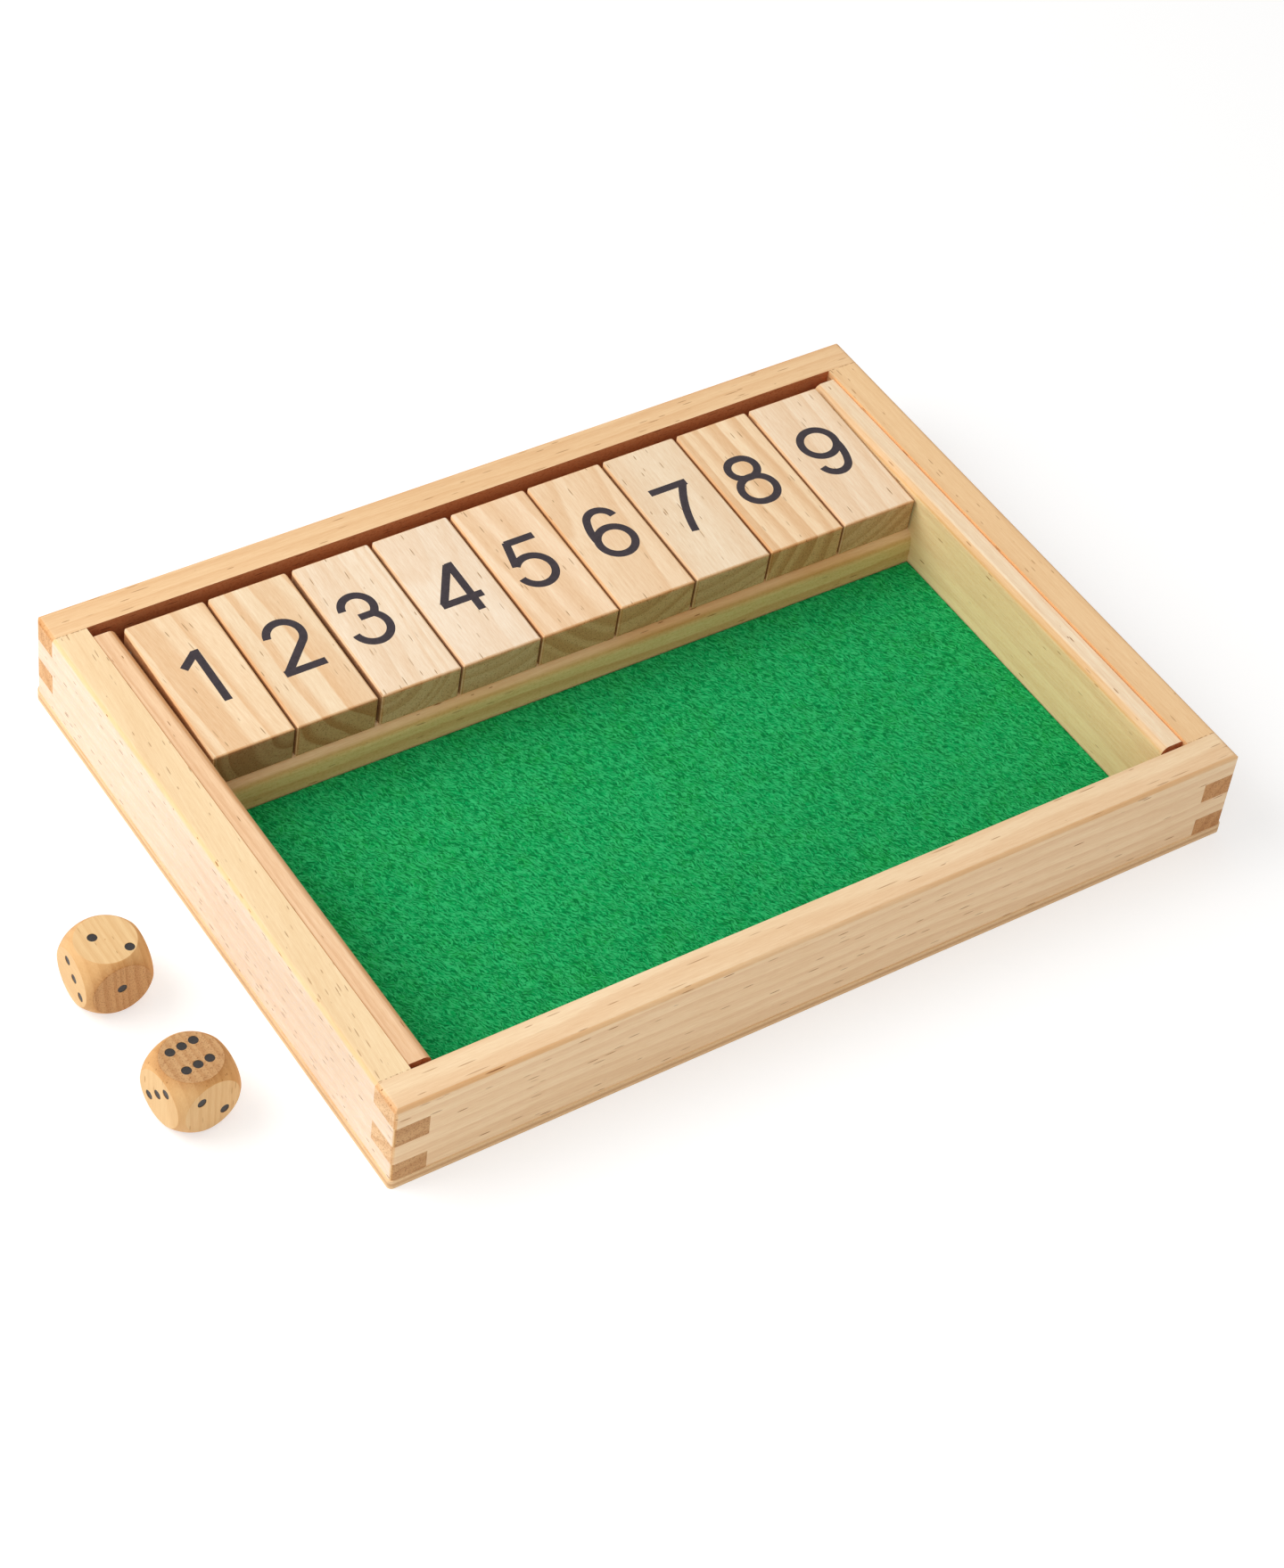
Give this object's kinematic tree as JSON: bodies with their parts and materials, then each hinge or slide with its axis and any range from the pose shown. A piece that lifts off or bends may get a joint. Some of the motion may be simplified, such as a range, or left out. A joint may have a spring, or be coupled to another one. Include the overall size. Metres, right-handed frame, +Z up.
{
  "type": "shut the box game",
  "caption": "Shallow finger jointed wooden tray with a row of numbered flip tiles on a steel rod, a green felt floor, and loose wooden dice beside it.",
  "frame": {"origin": "middle of the underside of the tray", "axes": "+X to the right along the row of tiles, +Y from the player to the back where the tiles are hinged, +Z up"},
  "size_m": [0.2489, 0.158, 0.0242],
  "materials": {
    "rail_wood": "sanded pine, clear satin finish",
    "strip_wood": "sanded pine, clear satin finish",
    "tile_wood": "sanded pale pine, clear satin finish",
    "plywood": "thin plywood, sanded edge",
    "felt": "green wool felt",
    "steel": "drawn",
    "ink": "stamped ink",
    "die_wood": "tumbled beech",
    "pip_paint": "black paint in drilled pips"
  },
  "bodies": {
    "tray": {"front_rail": "rail_wood", "back_rail": "rail_wood", "left_rail": "rail_wood", "right_rail": "rail_wood", "base_panel": "plywood", "felt_mat": "felt", "left_strip": "strip_wood", "right_strip": "strip_wood", "tile_rest_bar": "strip_wood", "pivot_rod": "steel"},
    "flip_tile_1": {"tile_1": "tile_wood", "numeral_1": "ink"},
    "flip_tile_2": {"tile_2": "tile_wood", "numeral_2": "ink"},
    "flip_tile_3": {"tile_3": "tile_wood", "numeral_3": "ink"},
    "flip_tile_4": {"tile_4": "tile_wood", "numeral_4": "ink"},
    "flip_tile_5": {"tile_5": "tile_wood", "numeral_5": "ink"},
    "flip_tile_6": {"tile_6": "tile_wood", "numeral_6": "ink"},
    "flip_tile_7": {"tile_7": "tile_wood", "numeral_7": "ink"},
    "flip_tile_8": {"tile_8": "tile_wood", "numeral_8": "ink"},
    "flip_tile_9": {"tile_9": "tile_wood", "numeral_9": "ink"},
    "loose_die_1": {"die_1": "die_wood", "die_1_pips": "pip_paint"},
    "loose_die_2": {"die_2": "die_wood", "die_2_pips": "pip_paint"}
  },
  "joints": [
    {"name": "tile_1_flip", "type": "hinge", "parent": "tray", "child": "flip_tile_1", "pos_m": [0, 0.06285, 0.019], "axis": [-1, 0, 0], "range_deg": [0, 117]},
    {"name": "tile_2_flip", "type": "hinge", "parent": "tray", "child": "flip_tile_2", "pos_m": [0, 0.06285, 0.019], "axis": [-1, 0, 0], "range_deg": [0, 117]},
    {"name": "tile_3_flip", "type": "hinge", "parent": "tray", "child": "flip_tile_3", "pos_m": [0, 0.06285, 0.019], "axis": [-1, 0, 0], "range_deg": [0, 117]},
    {"name": "tile_4_flip", "type": "hinge", "parent": "tray", "child": "flip_tile_4", "pos_m": [0, 0.06285, 0.019], "axis": [-1, 0, 0], "range_deg": [0, 117]},
    {"name": "tile_5_flip", "type": "hinge", "parent": "tray", "child": "flip_tile_5", "pos_m": [0, 0.06285, 0.019], "axis": [-1, 0, 0], "range_deg": [0, 117]},
    {"name": "tile_6_flip", "type": "hinge", "parent": "tray", "child": "flip_tile_6", "pos_m": [0, 0.06285, 0.019], "axis": [-1, 0, 0], "range_deg": [0, 117]},
    {"name": "tile_7_flip", "type": "hinge", "parent": "tray", "child": "flip_tile_7", "pos_m": [0, 0.06285, 0.019], "axis": [-1, 0, 0], "range_deg": [0, 117]},
    {"name": "tile_8_flip", "type": "hinge", "parent": "tray", "child": "flip_tile_8", "pos_m": [0, 0.06285, 0.019], "axis": [-1, 0, 0], "range_deg": [0, 117]},
    {"name": "tile_9_flip", "type": "hinge", "parent": "tray", "child": "flip_tile_9", "pos_m": [0, 0.06285, 0.019], "axis": [-1, 0, 0], "range_deg": [0, 117]},
    {"name": "die_1_lift", "type": "slide", "parent": "tray", "child": "loose_die_1", "axis": [0, 0, 1], "range_m": [0, 0.04]},
    {"name": "die_2_lift", "type": "slide", "parent": "tray", "child": "loose_die_2", "axis": [0, 0, 1], "range_m": [0, 0.04]}
  ]
}
